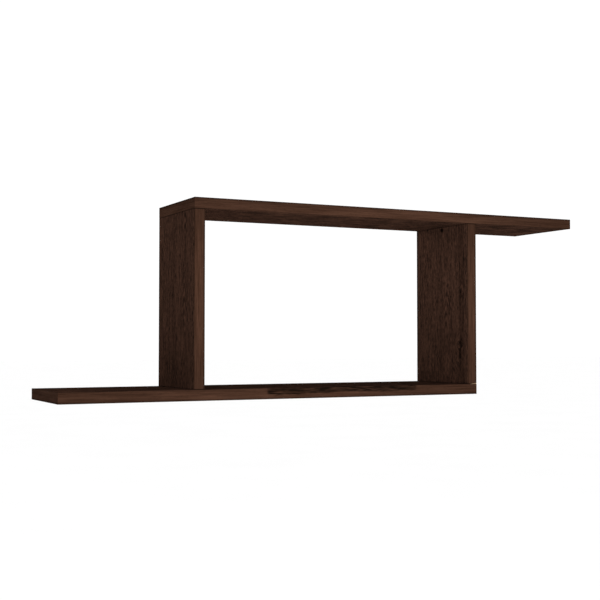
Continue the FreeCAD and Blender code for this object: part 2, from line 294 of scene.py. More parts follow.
def eased(bm, width, least_angle=40.0, segments=2):
    """Bevels every edge sharper than least_angle."""
    edges = [
        edge for edge in bm.edges
        if len(edge.link_faces) == 2 and edge.calc_face_angle() > math.radians(least_angle)
    ]
    bmesh.ops.bevel(
        bm, geom=edges, offset=width, offset_type="OFFSET", segments=segments, profile=0.5,
        affect="EDGES", material=-1, clamp_overlap=True,
    )
    return bm


def place(bm, matrix):
    """A copy of bm, moved by matrix."""
    copy = bm.copy()
    bmesh.ops.transform(copy, matrix=matrix, verts=copy.verts)
    return copy


def piece(name, bm, material, body, slot, *nodes, crease=35.0):
    """Turns bm into a finished piece that rides on body and stands for the CAD nodes."""
    mesh = bpy.data.meshes.new(name)
    bm.to_mesh(mesh)
    bm.free()
    mesh.shade_smooth()
    mesh.set_sharp_from_angle(angle=math.radians(crease))
    mesh.materials.append(material)
    made = bpy.data.objects.new(name, mesh)
    bpy.context.scene.collection.objects.link(made)
    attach(made, body)
    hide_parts(*nodes)
    return made


def dress(node, material):
    """Gives a CAD node its finished material."""
    mesh = frame["nodes"][node].data
    mesh.materials.clear()
    mesh.materials.append(material)
    for polygon in mesh.polygons:
        polygon.material_index = 0


# ---- Shader helpers --------------------------------------------------------------------------

class Value:
    """A number on a shader socket; arithmetic on it adds Math nodes."""

    def __init__(self, shader, socket):
        self.shader = shader
        self.socket = socket

    def maths(self, operation, *numbers):
        return self.shader.add("ShaderNodeMath", {"operation": operation}, dict(enumerate(numbers)))

    def __add__(self, other):
        return self.maths("ADD", self, other)

    def __radd__(self, other):
        return self.maths("ADD", other, self)

    def __sub__(self, other):
        return self.maths("SUBTRACT", self, other)

    def __rsub__(self, other):
        return self.maths("SUBTRACT", other, self)

    def __mul__(self, other):
        return self.maths("MULTIPLY", self, other)

    def __rmul__(self, other):
        return self.maths("MULTIPLY", other, self)

    def __truediv__(self, other):
        return self.maths("DIVIDE", self, other)

    def least(self, other):
        return self.maths("MINIMUM", self, other)

    def most(self, other):
        return self.maths("MAXIMUM", self, other)

    def above(self, other):
        return self.maths("GREATER_THAN", self, other)

    def sine(self):
        return self.maths("SINE", self)

    def smooth(self, low, high):
        """0 below low, 1 above high, and a smooth rise between them."""
        return self.shader.add(
            "ShaderNodeMapRange", {"interpolation_type": "SMOOTHSTEP"},
            {"Value": self, "From Min": low, "From Max": high},
        )


class Shader:
    """A material and the nodes that make it."""

    def __init__(self, name):
        self.material = bpy.data.materials.new(name)
        self.material.use_nodes = True
        self.tree = self.material.node_tree
        self.tree.nodes.clear()

    def add(self, kind, settings=None, sockets=None, output=0):
        """Adds a node: its settings first, then its sockets' values or links."""
        node = self.tree.nodes.new(kind)
        for name, value in (settings or {}).items():
            setattr(node, name, value)
        for key, value in (sockets or {}).items():
            if isinstance(value, Value):
                self.tree.links.new(value.socket, node.inputs[key])
            else:
                node.inputs[key].default_value = value
        return Value(self, node.outputs[output]) if node.outputs else None

    def place(self):
        """The point's x, y and z in millimetres, in the shelf's frame."""
        here = self.add("ShaderNodeTexCoord", output="Object")
        in_mm = self.add("ShaderNodeVectorMath", {"operation": "SCALE"}, {0: here, "Scale": 1 / MM})
        return [self.add("ShaderNodeSeparateXYZ", None, {0: in_mm}, axis) for axis in range(3)]

    def vector(self, x, y, z):
        return self.add("ShaderNodeCombineXYZ", None, {0: x, 1: y, 2: z})

    def noise(self, x, y, z, detail=2.0, roughness=0.5):
        return self.add("ShaderNodeTexNoise", None, {
            "Vector": self.vector(x, y, z),
            "Scale": 1.0,
            "Detail": detail,
            "Roughness": roughness,
        })

    def grain(self, along, across, size, page, detail=1.0, roughness=0.5):
        """Noise whose features have a size of (length, width); page picks a layer of it."""
        return self.noise(along / size[0], across / size[1], page, detail, roughness)

    def cells(self, x, y, z, output):
        return self.add(
            "ShaderNodeTexVoronoi", None, {"Vector": self.vector(x, y, z), "Scale": 1.0}, output
        )

    def mix(self, share, first, second):
        """A colour from first to second."""
        ends = [self.opaque(first), self.opaque(second)]
        return self.add(
            "ShaderNodeMix", {"data_type": "RGBA"}, {0: share, 6: ends[0], 7: ends[1]}, output=2
        )

    def dim(self, tint, factor):
        """The colour with its brightness multiplied by a value."""
        grey = self.add("ShaderNodeCombineColor", None, {0: factor, 1: factor, 2: factor})
        return self.add(
            "ShaderNodeMix", {"data_type": "RGBA", "blend_type": "MULTIPLY"},
            {0: 1.0, 6: self.opaque(tint), 7: grey}, output=2,
        )

    @staticmethod
    def opaque(tint):
        return tint if isinstance(tint, Value) else (*tint, 1.0)

    def bump(self, height, depth, strength=1.0):
        """Normals from a height in 0 to 1 that stands depth metres tall."""
        return self.add(
            "ShaderNodeBump", None, {"Height": height, "Distance": depth, "Strength": strength}
        )

    def finish(self, tint, roughness, normal=None, **constants):
        """Principled surface; constants are sockets that don't vary."""
        sockets = {"Base Color": tint, "Roughness": roughness}
        if normal is not None:
            sockets["Normal"] = normal
        for name, value in constants.items():
            sockets[name.replace("_", " ")] = value
        surface = self.add("ShaderNodeBsdfPrincipled", None, sockets)
        self.add("ShaderNodeOutputMaterial", None, {0: surface})
        return self.material


# ---- Materials -------------------------------------------------------------------------------

CHIP_SIZE = (1.6, 1.1, 0.8)   # millimetres

# Length and width of the print's features on a board, in millimetres.
WANDER_SIZE = (150, 50)
WANDER_REACH = 22             # how far the grain wanders from side to side
UPRIGHT_TONE_SIZE = (160, 22)
LONG_TONE_SIZE = (45, 22)
STREAK_SIZE = (38, 2.8)
FIBRE_SIZE = (8, 1.2)
DASH_SIZE = (15, 2.0)
PORE_SIZE = (7.5, 0.62)
RING_SIZE = (70, 22)
ARCH_WIDTH = 26               # a larger one makes the arches blunter
ARCH_SLOPE = 0.22             # and a smaller one of these makes them longer
RING_WIDTH = 4.5
FACE_STEP = 31.0              # how far apart a board's two faces are in the print
VEIN_WIDTH = 11.0

# The same on an edge band.
SWAY_SIZE = (120, 9)
SWAY_REACH = 4
BAND_STREAK_SIZE = (55, 1.7)
BAND_TONE_SIZE = (130, 9)
FLECK_SIZE = (9, 0.45)
RAGGED_SIZE = (21, 5)
CLOUD_SIZE = (26, 2.2)


def blot(along, across, radius, squash):
    """1 in a small mark's middle, falling to 0 past its radius; squash narrows it across."""
    across = across / squash
    far = across * across + along * along
    return 1 - far.smooth(0.2 * radius * radius, radius * radius)


def near(position, low, high, width):
    """1 at either end of a stretch, falling to 0 a width inside it."""
    return 1 - (position - low).least(high - position).smooth(width * 0.3, width)


def chipboard(shader, x, y, z, settings):
    """Colour of the core: pressed chips of several browns with darker gaps."""
    point = (x / CHIP_SIZE[0], y / CHIP_SIZE[1], z / CHIP_SIZE[2])
    share = shader.add("ShaderNodeSeparateColor", None, {0: shader.cells(*point, "Color")}, 0)
    gap = shader.cells(*point, "Distance").smooth(0.35, 0.8)
    chips = shader.mix(share, settings.core_light, settings.core_dark)
    return shader.dim(chips, 1 - gap * 0.45)


def board_print(node, arch_middle, page, painted_shading, vein=None, knots=(), spot=None):
    """Printed dark wood grain on both faces of a board, and bare chipboard inside it.

    The grain runs along the board. Nested arches point along it on the line arch_middle, and
    page picks another sheet of the same print, so that no two faces are alike. painted_shading
    is painted light and shade: how the sheet's brightness changes along the board, (start, end,
    first, last). vein is the line of a soft darker streak. The grain bends round each knot:
    (along, across, radius). spot is a small, nearly black mark: (along, across, radius, squash).
    On an upright, painted shade also darkens the face where it meets a long board and along its
    back edge. All lengths are in millimetres.
    """
    settings = bpy.context.scene.shelf_boards
    shader = Shader("printed_" + node)
    upright = node in UPRIGHTS
    x, y, z = shader.place()
    low, high = (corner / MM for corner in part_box(node))
    if upright:
        u, v, w, faces = z, y, x, (low.x, high.x)
    else:
        u, v, w, faces = x, y, z, (low.z, high.z)
    sheet = w.above(sum(faces) / 2) * FACE_STEP + page

    wander = shader.grain(u, v, WANDER_SIZE, sheet, 2.0) - 0.5
    across = v + wander * WANDER_REACH
    eyes = 0
    for along, side, radius in knots:
        swell = blot(u - along, v - side, radius * 2.4, squash=0.8)
        across = across + swell * (v - side) * -0.7
        eyes = blot(u - along, v - side, radius, squash=0.55) + eyes

    tone_size, tone_share = (UPRIGHT_TONE_SIZE, 0.5) if upright else (LONG_TONE_SIZE, 1.3)
    tone = shader.grain(u, across, tone_size, sheet + 5)
    streak = shader.grain(u, across, STREAK_SIZE, sheet + 11, 3.0, 0.6)
    fibre = shader.grain(u, across, FIBRE_SIZE, sheet + 17, 2.0, 0.6)
    offset = across - arch_middle
    arch = offset * offset / ARCH_WIDTH + u * ARCH_SLOPE
    ring = (arch / RING_WIDTH * 2 * math.pi + wander * 11).sine() * 0.5 + 0.5
    ring_share = shader.grain(u, across, RING_SIZE, sheet + 23).smooth(0.42, 0.62)
    dark = 0.5 + (tone - 0.5) * tone_share + (streak - 0.5) * 1.8 + (fibre - 0.5) * 2.2
    dark = dark + (ring - 0.5) * ring_share * 0.45
    face = shader.mix(dark.smooth(0.0, 1.0), settings.light, settings.dark)

    dash = shader.grain(u, across, DASH_SIZE, sheet + 29).smooth(0.55, 0.7)
    dash = dash * (ring * ring_share * 0.6 + 0.4)
    pores = shader.grain(u, across, PORE_SIZE, sheet + 37).smooth(0.56, 0.68)
    pores = pores * (streak.smooth(0.4, 0.6) * 0.7 + 0.3)
    eyes = eyes * (0.15 + fibre)
    face = shader.mix((dash * 0.75).most(pores * 0.55).most(eyes), face, settings.pore_and_shade)

    # Painted light and shade: the brightness ramps from first to last between start and end along
    # the board; the vein darkens its own streak.
    start, end, first, last = painted_shading
    shade_and_vein = first + u.smooth(start, end) * (last - first)
    if vein is not None:
        shade_and_vein = shade_and_vein * (1 - blot(0, v + wander * 10 - vein, VEIN_WIDTH, squash=1.0) * 0.28)
    face = shader.dim(face, shade_and_vein)
    # Painted shade: a dark line at the upright's ends, where it meets the long boards, and another
    # along its back edge.
    if upright:
        joint = near(u, low.z, high.z, settings.joint_shade / MM)
        back = 1 - (high.y - v).smooth(1.0, 5.0)
        face = shader.mix((joint * 0.6).most(back * 0.5), face, settings.pore_and_shade)
    if spot:
        along, side, radius, squash = spot
        face = shader.mix(blot(u - along, v - side, radius, squash), face, settings.pore_and_shade)

    facing = settings.facing / MM
    inside = (w - faces[0]).least(faces[1] - w)
    printed = 1 - inside.smooth(facing, facing * 1.3)
    tint = shader.mix(printed, chipboard(shader, x, y, z, settings), face)
    gloss = 0.8 + pores * 0.1 + fibre * 0.08
    relief = shader.bump(1 - pores * 0.8 - fibre * 0.2, 0.06 * MM, 0.6)
    return shader.finish(tint, gloss, relief, Specular_IOR_Level=0.0)


def stretch_cover(shader, x, z, low, high, stretch, page):
    """How much of a band a darker stretch hides: cloudy, with a ragged lower edge."""
    first, last = stretch
    run = (x - first) / (last - first)
    height = (z - low.z) / (high.z - low.z)
    ragged = shader.grain(x, z, RAGGED_SIZE, page + 19, 3.0, 0.6)
    cloud = shader.grain(x, z, CLOUD_SIZE, page + 23, 2.0, 0.6)
    edge = height + (ragged - 0.5) * 0.55 - run.smooth(0.1, 0.6) * 0.13
    cover = edge.smooth(0.32, 0.48) * run.smooth(0.005, 0.025) * (1 - run.smooth(0.975, 0.995))
    return cover * (0.77 + (cloud - 0.5) * 3.0).least(1.0)


def edging(node, along, page, painted_light=1.0, stretch=None):
    """Edge band: fine long streaks along the band, and dark lines where its edges are trimmed.

    painted_light is painted light and shade that makes the whole band lighter or darker. stretch
    is (start, end) along X, in millimetres, of a darker cloudy streak in the band's upper part.
    Painted shade also darkens the band towards its ends, along its outer edge and, on an upright,
    where it meets a board.
    """
    settings = bpy.context.scene.shelf_bands
    shader = Shader("edging_" + node)
    x, y, z = shader.place()
    low, high = (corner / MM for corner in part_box(node))
    upright = along == "Z"
    u = {"X": x, "Y": y, "Z": z}[along]
    across, start, end = (x, low.x, high.x) if upright else (z, low.z, high.z)
    depth = x if along == "Y" else y

    sway = shader.grain(u, across, SWAY_SIZE, page) - 0.5
    lane = across + sway * SWAY_REACH
    streak = shader.grain(u, lane, BAND_STREAK_SIZE, depth / 40 + page, 3.0, 0.6)
    tone = shader.grain(u, lane, BAND_TONE_SIZE, page + 7)
    fleck = shader.grain(u, lane, FLECK_SIZE, page + 13).smooth(0.58, 0.7)
    dark = 0.5 + (streak - 0.5) * 1.9 + (tone - 0.5) * (0.4 if upright else 1.0)
    tint = shader.mix(dark.smooth(0.0, 1.0), settings.light, settings.dark)
    # Dark flecks, then painted light and shade that makes the whole band lighter or darker.
    tint = shader.dim(shader.mix(fleck * 0.5, tint, settings.streak), painted_light)

    if upright:
        tint = shader.dim(tint, 0.9 + across.smooth(start, start + 0.7 * (end - start)) * 0.1)
        # Painted shade over a dark trim line at the band's ends, where the upright meets the long
        # boards.
        joint = near(u, low.z, high.z, settings.joint_shade / MM)
        tint = shader.mix(joint * 0.85, tint, settings.streak)
    # Painted shade: the long bands and the uprights' bands darken towards their ends.
    if along != "Y":
        axis = "XYZ".index(along)
        fade = settings.upright_end_shade if upright else settings.long_end_shade
        tint = shader.dim(tint, 1 - near(u, low[axis], high[axis], fade / MM) * 0.22)
    # Painted shade along the band's outer edge, and a thin dark trim line along both its edges.
    outer = across - start if node.startswith("bottom_board") else end - across
    shade = (1 - outer.smooth(1.0, settings.edge_shade_width / MM)) * 0.45
    trim = near(across, start, end, settings.trim_line / MM) * 0.35
    tint = shader.mix(trim.most(shade), tint, settings.streak)
    if stretch:
        cover = stretch_cover(shader, x, z, low, high, stretch, page)
        tint = shader.mix(cover, tint, settings.streak)
    gloss = 0.76 + streak * 0.1 + fleck * 0.1
    relief = shader.bump(1 - fleck * 0.6 - streak * 0.4, 0.03 * MM, 0.5)
    return shader.finish(tint, gloss, relief, Specular_IOR_Level=0.003)


def plated_steel():
    """Bright zinc plating, shared by the plated pieces: faint crystals, drawn lines and haze."""
    name = "zinc_plating"
    if name in bpy.data.materials:
        return bpy.data.materials[name]
    settings = bpy.context.scene.shelf_fittings
    shader = Shader(name)
    x, y, z = shader.place()
    crystal = shader.cells(x / 1.8, y / 1.8, z / 1.8, "Color")
    share = shader.add("ShaderNodeSeparateColor", None, {0: crystal}, 0)
    haze = shader.noise(x / 4, y / 4, z / 4, 3.0)
    lines = shader.noise(x / 0.12, y / 0.5, z / 9, 2.0)
    tint = shader.dim(settings.plating, 0.82 + share * 0.14 + haze * 0.12)
    gloss = 0.24 + haze * 0.14 + lines * 0.08
    relief = shader.bump(lines * 0.6 + share * 0.4, 0.01 * MM, 0.5)
    return shader.finish(tint, gloss, relief, Metallic=1.0)


def cast_zinc():
    """Die-cast zinc: dull grey with a fine cast grain."""
    settings = bpy.context.scene.shelf_fittings
    shader = Shader("cast_zinc")
    x, y, z = shader.place()
    grain = shader.noise(x / 0.25, y / 0.25, z / 0.25, 3.0, 0.6)
    cloud = shader.noise(x / 3, y / 3, z / 3, 2.0)
    tint = shader.dim(settings.zinc, 0.75 + cloud * 0.3 + grain * 0.12)
    gloss = 0.4 + cloud * 0.15 + grain * 0.1
    relief = shader.bump(grain, 0.03 * MM, 0.7)
    return shader.finish(tint, gloss, relief, Metallic=1.0)


def beech():
    """Pale beech with short dark flecks along the grain."""
    settings = bpy.context.scene.shelf_fittings
    shader = Shader("beech")
    x, y, z = shader.place()
    streak = shader.noise(x / 0.9, y / 0.9, z / 18, 3.0)
    fleck = shader.noise(x / 0.22, y / 0.22, z / 1.8, 1.0).smooth(0.58, 0.68)
    tint = shader.mix(streak.smooth(0.3, 0.7), settings.beech_light, settings.beech_dark)
    tint = shader.dim(tint, 1 - fleck * 0.35)
    relief = shader.bump(1 - fleck * 0.5 - streak * 0.5, 0.04 * MM, 0.6)
    return shader.finish(tint, 0.62 + streak * 0.1, relief, Specular_IOR_Level=0.3)


# ---- Boards ----------------------------------------------------------------------------------

class SHELF_OT_boards(bpy.types.Operator):
    """Print the wood grain on the four boards"""

    bl_idname = "shelf.boards"
    bl_label = "Boards"

    def execute(self, context):
        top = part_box("right_upright")[1].z / MM
        # painted_shading is painted light and shade along each board: (start, end, first, last).
        sheets = {
            "top_board": dict(arch_middle=-70.0, page=3.0, painted_shading=(150.0, 400.0, 1.13, 0.97)),
            "bottom_board": dict(arch_middle=-95.0, page=43.0, painted_shading=(-450.0, -370.0, 0.85, 0.66)),
            "left_upright": dict(arch_middle=-123.0, page=81.0, painted_shading=(-200.0, -120.0, 0.9, 0.99)),
            "right_upright": dict(
                arch_middle=-100.0, page=123.0, painted_shading=(-220.0, 60.0, 0.9, 1.21), vein=-150.0,
                knots=((-83.0, -148.0, 10.0), (-168.0, -146.0, 8.0), (-190.0, -144.0, 12.0)),
                spot=(top - 5.5, -87.0, 5.0, 1.3),
            ),
        }
        for node, sheet in sheets.items():
            dress(node, board_print(node, **sheet))
        return {"FINISHED"}


# ---- Edge bands ------------------------------------------------------------------------------

BAND_SIDES = {
    "front": ("X", -AXES["Y"]),
    "back": ("X", AXES["Y"]),
    "left": ("Y", -AXES["X"]),
    "right": ("Y", AXES["X"]),
}
DARK_STRETCH = (-148.0, 148.0)   # millimetres along X
WINDOW_DEPTH = 4 * MM         # a cutter's, centred on the wall plane
FIRST_PAGE = 5.0
PAGE_STEP = 17.0


def band_shape(node, along, outward):
    """A band's slab with its long outer edges rounded."""
    arris = bpy.context.scene.shelf_bands.arris
    low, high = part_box(node)
    bm = cuboid(low, high)
    run = AXES[along]
    outer = max(vert.co.dot(outward) for vert in bm.verts)
    edges = []
    for edge in bm.edges:
        direction = (edge.verts[1].co - edge.verts[0].co).normalized()
        on_outer = all(outer - vert.co.dot(outward) < arris / 2 for vert in edge.verts)
        if on_outer and abs(direction.dot(run)) > 0.5:
            edges.append(edge)
    bmesh.ops.bevel(
        bm, geom=edges, offset=arris, offset_type="OFFSET", segments=4, profile=0.5,
        affect="EDGES", material=-1,
    )
    return cleaned(bm)


def crooked_foot(bm, node):
    """Cuts the foot of a band askew, so that a sliver of the core shows beneath it."""
    settings = bpy.context.scene.shelf_bands
    low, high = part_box(node)
    start = Vector((low.x + settings.foot_gap_start, low.y, low.z))
    end = Vector((high.x, low.y, low.z + settings.foot_gap))
    normal = (end - start).cross(AXES["Y"]).normalized()
    if normal.z < 0:
        normal = -normal
    cut = bmesh.ops.bisect_plane(
        bm, geom=bm.verts[:] + bm.edges[:] + bm.faces[:], plane_co=start, plane_no=normal,
        clear_inner=True,
    )
    edges = [item for item in cut["geom_cut"] if isinstance(item, bmesh.types.BMEdge)]
    bmesh.ops.edgeloop_fill(bm, edges=edges)
    return cleaned(bm)


def plate_window(node):
    """The opening in an upright's back band where its hanger plate sits."""
    low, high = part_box(node.replace("_upright_back_band", "_hanger_plate"))
    window = round_ended(high.x - low.x, high.z - low.z, WINDOW_DEPTH)
    centre = ((low.x + high.x) / 2, WINDOW_DEPTH / 2, (low.z + high.z) / 2)
    bmesh.ops.translate(window, vec=centre, verts=window.verts)
    return window


def band_painted_light(board, along):
    """Painted light and shade on a band against the others: end bands lighter, the lower board's
    darker.
    """
    if board == "bottom_board":
        return 0.95
    return 1.12 if along == "Y" else 1.0


class SHELF_OT_edge_bands(bpy.types.Operator):
    """Make the edge bands of all four boards"""

    bl_idname = "shelf.edge_bands"
    bl_label = "Edge Bands"

    def execute(self, context):
        page = FIRST_PAGE
        for board in LONG_BOARDS + UPRIGHTS:
            for side, (along, outward) in BAND_SIDES.items():
                node = board + "_" + side + "_band"
                if node not in frame["nodes"]:
                    continue
                if board in UPRIGHTS:
                    along = "Z"
                bm = band_shape(node, along, outward)
                if node == "right_upright_front_band":
                    bm = crooked_foot(bm, node)
                if node.endswith("_upright_back_band"):
                    bm = carved(bm, [plate_window(node)])
                stretch = DARK_STRETCH if node == "bottom_board_front_band" else None
                material = edging(node, along, page, band_painted_light(board, along), stretch)
                piece(node.replace("band", "edging"), bm, material, ROOT, "edge_band", node)
                page += PAGE_STEP
        return {"FINISHED"}


# ---- Cam locks -------------------------------------------------------------------------------

CAM_RADIUS = 7.45 * MM
CAM_FACE = 8.8 * MM           # from the bolt's axis out to the cam's face
CAM_INNER_END = -4.3 * MM
CHAMBER_RADIUS = 4.9 * MM
CHAMBER_OFFSET = 0.5 * MM
CHAMBER_HEIGHT = 7.0 * MM
JAW_SLOT = 3.8 * MM
JAW_SWEEP = math.radians(180)
JAW_MARGIN = math.radians(45)
ENTRY_RADIUS = 3.45 * MM
ARROW_RADIUS = 1.3 * MM
ARROW_OUT = 5.1 * MM          # from the cam's axis to the arrow's middle
ARROW_SINK = 0.65 * MM
CAM_EASE = 0.12 * MM
PAST = 1.0 * MM               # how far a cutter runs past the face it cuts


def cross_cutter(length, width, depth, core, taper=0.72):
    """Tapered cross recess with a round core, cut down from height 0."""
    cutters = []
    for size in ((length, width), (width, length)):
        low = Vector((-size[0] / 2, -size[1] / 2, -depth))
        arm = cuboid(low, Vector((size[0] / 2, size[1] / 2, 0)))
        floor = [vert for vert in arm.verts if vert.co.z < -depth / 2]
        bmesh.ops.scale(arm, vec=(taper, taper, 1), verts=floor)
        rim = [vert for vert in arm.verts if vert.co.z > -depth / 2]
        bmesh.ops.translate(arm, vec=(0, 0, PAST / 4), verts=rim)
        cutters.append(arm)
    cone = cylinder(core, Vector((0, 0, PAST / 4)), -AXES["Z"], depth + PAST / 4, 24, core * taper)
    return cutters + [cone]


def jaw_cutter():
    """The bolt's path through the cam's wall as the cam turns from locked to open."""
    half = JAW_SLOT / 2
    inner = CHAMBER_OFFSET
    outer = CAM_RADIUS + PAST
    bm = bmesh.new()
    corners = [(inner, -half), (outer, -half), (outer, half), (inner, half)]
    face = bm.faces.new([bm.verts.new((r, 0, z)) for r, z in corners])
    bmesh.ops.spin(
        bm, geom=[face], cent=(0, 0, 0), axis=(0, 0, 1), angle=JAW_SWEEP + JAW_MARGIN, steps=60
    )
    back = Matrix.Rotation(-JAW_SWEEP, 3, "Z")
    bmesh.ops.rotate(bm, cent=(0, 0, 0), matrix=back, verts=bm.verts)
    return cleaned(bm)


def cam_shape():
    """A cam lock in its own frame: Z out of the upright's face, the locked bolt along +X."""
    chamfer = 0.35 * MM
    rim = 0.9 * MM
    dish = 0.25 * MM
    body = turned([
        (0, CAM_INNER_END),
        (CAM_RADIUS - chamfer, CAM_INNER_END),
        (CAM_RADIUS, CAM_INNER_END + chamfer),
        (CAM_RADIUS, CAM_FACE - chamfer),
        (CAM_RADIUS - chamfer / 3, CAM_FACE - chamfer / 3),
        (CAM_RADIUS - chamfer, CAM_FACE),
        (CAM_RADIUS - rim, CAM_FACE),
        (CAM_RADIUS - rim - dish, CAM_FACE - dish),
        (0, CAM_FACE - dish),
    ], steps=96)
    chamber_foot = Vector((-CHAMBER_OFFSET, 0, -CHAMBER_HEIGHT / 2))
    chamber = cylinder(CHAMBER_RADIUS, chamber_foot, AXES["Z"], CHAMBER_HEIGHT, segments=64)
    entry = cylinder(ENTRY_RADIUS, Vector((0, 0, 0)), -AXES["X"], CAM_RADIUS + PAST)
    mark = Vector((-ARROW_OUT, 0, CAM_FACE - ARROW_SINK))
    arrow = cylinder(ARROW_RADIUS, mark, AXES["Z"], PAST, segments=3)
    point_out = Matrix.Rotation(math.pi / 2, 3, "Z")
    bmesh.ops.rotate(arrow, cent=mark, matrix=point_out, verts=arrow.verts)
    drive = cross_cutter(length=7.0 * MM, width=1.5 * MM, depth=3.2 * MM, core=1.7 * MM)
    for cutter in drive:
        bmesh.ops.translate(cutter, vec=(0, 0, CAM_FACE - dish), verts=cutter.verts)
    return eased(carved(body, [chamber, entry, jaw_cutter(), arrow] + drive), CAM_EASE)


class SHELF_OT_cam_locks(bpy.types.Operator):
    """Make the cam locks in the uprights"""

    bl_idname = "shelf.cam_locks"
    bl_label = "Cam Locks"

    def execute(self, context):
        material = cast_zinc()
        shape = cam_shape()
        for node, joint in JOINTS.items():
            to_board = AXES["Z"] if "_top_" in node else -AXES["Z"]
            axis = AXES["X"]
            turn = Matrix((to_board, axis.cross(to_board), axis)).transposed().to_4x4()
            matrix = Matrix.Translation(joint["pos_m"]) @ turn
            piece(node + "_lock", place(shape, matrix), material, node, "zinc_cam", node)
        shape.free()
        return {"FINISHED"}


# ---- Cam bolts and dowels --------------------------------------------------------------------

BALL_RADIUS = 3.3 * MM
BALL_STEPS = 14
DOWEL_RADIUS = 4.0 * MM
DOWEL_ENDS = (-11.0 * MM, 19.0 * MM)   # from the long board's face
FLUTE_ANGLE = math.radians(30)


def joint_matrix(node, row):
    """Stands a fitting's own Z along the way into the upright, at one place along the depth."""
    end, inward = corner_of(node)
    turn = Matrix.Rotation(0 if inward > 0 else math.pi, 4, "X")
    return Matrix.Translation((end.x, row, end.z)) @ turn


def bolt_shape(reach):
    """Cam bolt in its own frame: height 0 at the long board's face, ball up in the cam."""
    settings = bpy.context.scene.shelf_fittings
    ball_height = reach - BALL_RADIUS
    neck = 1.6 * MM
    stem = 2.6 * MM
    core = 2.55 * MM
    outer = 3.5 * MM
    collar = 3.8 * MM
    collar_top = 2.0 * MM
    ease = 0.4 * MM
    taper = 1.0 * MM
    depth = 11.0 * MM
    shoulder = ball_height - 6.55 * MM
    start = math.asin(neck / BALL_RADIUS)
    arc = [start + (math.pi - start) * i / BALL_STEPS for i in range(BALL_STEPS)]
    profile = [
        (0, -depth),
        (core * 0.7, -depth),
        (core, -depth + taper),
        (core, -ease),
        (collar, 0),
        (collar, collar_top - ease),
        (collar - ease, collar_top),
        (stem, collar_top),
        (stem, shoulder - taper),
        (neck, shoulder),
    ]
    profile += [
        (BALL_RADIUS * math.sin(angle), ball_height - BALL_RADIUS * math.cos(angle))
        for angle in arc
    ]
    profile.append((0, reach))
    drive = cross_cutter(length=4.4 * MM, width=0.9 * MM, depth=1.8 * MM, core=1.0 * MM)
    for cutter in drive:
        bmesh.ops.translate(cutter, vec=(0, 0, reach), verts=cutter.verts)
    body = carved(turned(profile, steps=48), drive)
    thread_start, thread_end = -depth + 0.2 * MM, -0.3 * MM
    ridge = thread(core - THREAD_SINK, outer, thread_start, thread_end, settings.bolt_pitch)
    return joined(body, ridge)


def dowel_shape():
    """Fluted dowel in its own frame: height 0 at the long board's face, with chamfered ends."""
    low, high = DOWEL_ENDS
    flute = 0.4 * MM
    chamfer = 0.8 * MM
    narrowed = 1 - flute / DOWEL_RADIUS
    bm = cylinder(DOWEL_RADIUS, Vector((0, 0, low)), AXES["Z"], high - low, segments=96)
    for vert in bm.verts:
        turns = math.atan2(vert.co.y, vert.co.x) / FLUTE_ANGLE
        if abs(turns - round(turns)) < 0.01:
            bmesh.ops.scale(bm, vec=(narrowed, narrowed, 1), verts=[vert])
    ends = [edge for edge in bm.edges if abs(edge.verts[0].co.z - edge.verts[1].co.z) < chamfer]
    bmesh.ops.bevel(
        bm, geom=ends, offset=chamfer, offset_type="OFFSET", segments=1, profile=0.5,
        affect="EDGES", material=-1,
    )
    return cleaned(bm)


class SHELF_OT_cam_bolts(bpy.types.Operator):
    """Make the cam bolts that the cam locks hold"""

    bl_idname = "shelf.cam_bolts"
    bl_label = "Cam Bolts"

    def execute(self, context):
        material = plated_steel()
        shape = None
        for node in sorted(frame["nodes"]):
            if not node.endswith("_cam_bolts"):
                continue
            if shape is None:
                low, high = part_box(node)
                end, inward = corner_of(node)
                shape = bolt_shape((high.z - end.z) if inward > 0 else (end.z - low.z))
            bolts = [place(shape, joint_matrix(node, row)) for row in cam_rows(node)]
            name = node.replace("cam_bolts", "joint_bolts")
            piece(name, joined(*bolts), material, ROOT, "zinc_plated_steel", node)
        shape.free()
        return {"FINISHED"}


class SHELF_OT_dowels(bpy.types.Operator):
    """Make the fluted dowels"""

    bl_idname = "shelf.dowels"
    bl_label = "Dowels"

    def execute(self, context):
        material = beech()
        shape = dowel_shape()
        for node in sorted(frame["nodes"]):
            if not node.endswith("_dowels"):
                continue
            low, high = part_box(node)
            rows = (low.y + DOWEL_RADIUS, high.y - DOWEL_RADIUS)
            dowels = [place(shape, joint_matrix(node, row)) for row in rows]
            name = node.replace("dowels", "fluted_dowels")
            piece(name, joined(*dowels), material, ROOT, "beech", node)
        shape.free()
        return {"FINISHED"}


# ---- Hangers ---------------------------------------------------------------------------------

PLATE_SCREW_RISE = 21.0 * MM
PLATE_EASE = 0.15 * MM
KEYHOLE_ENTRY = 4.5 * MM      # radius
KEYHOLE_SLOT = 4.6 * MM       # width
KEYHOLE_REST = 6.0 * MM       # the slot's upper centre, above the plate's middle
SCREW_HOLE = 1.8 * MM         # radius
COUNTERSINK = 3.07 * MM       # radius, and depth of its cone
CONE_TIP = 0.01 * MM
SCREW_TWISTS = {1: 0.3, -1: 0.9}   # radians that the upper and the lower screw are turned


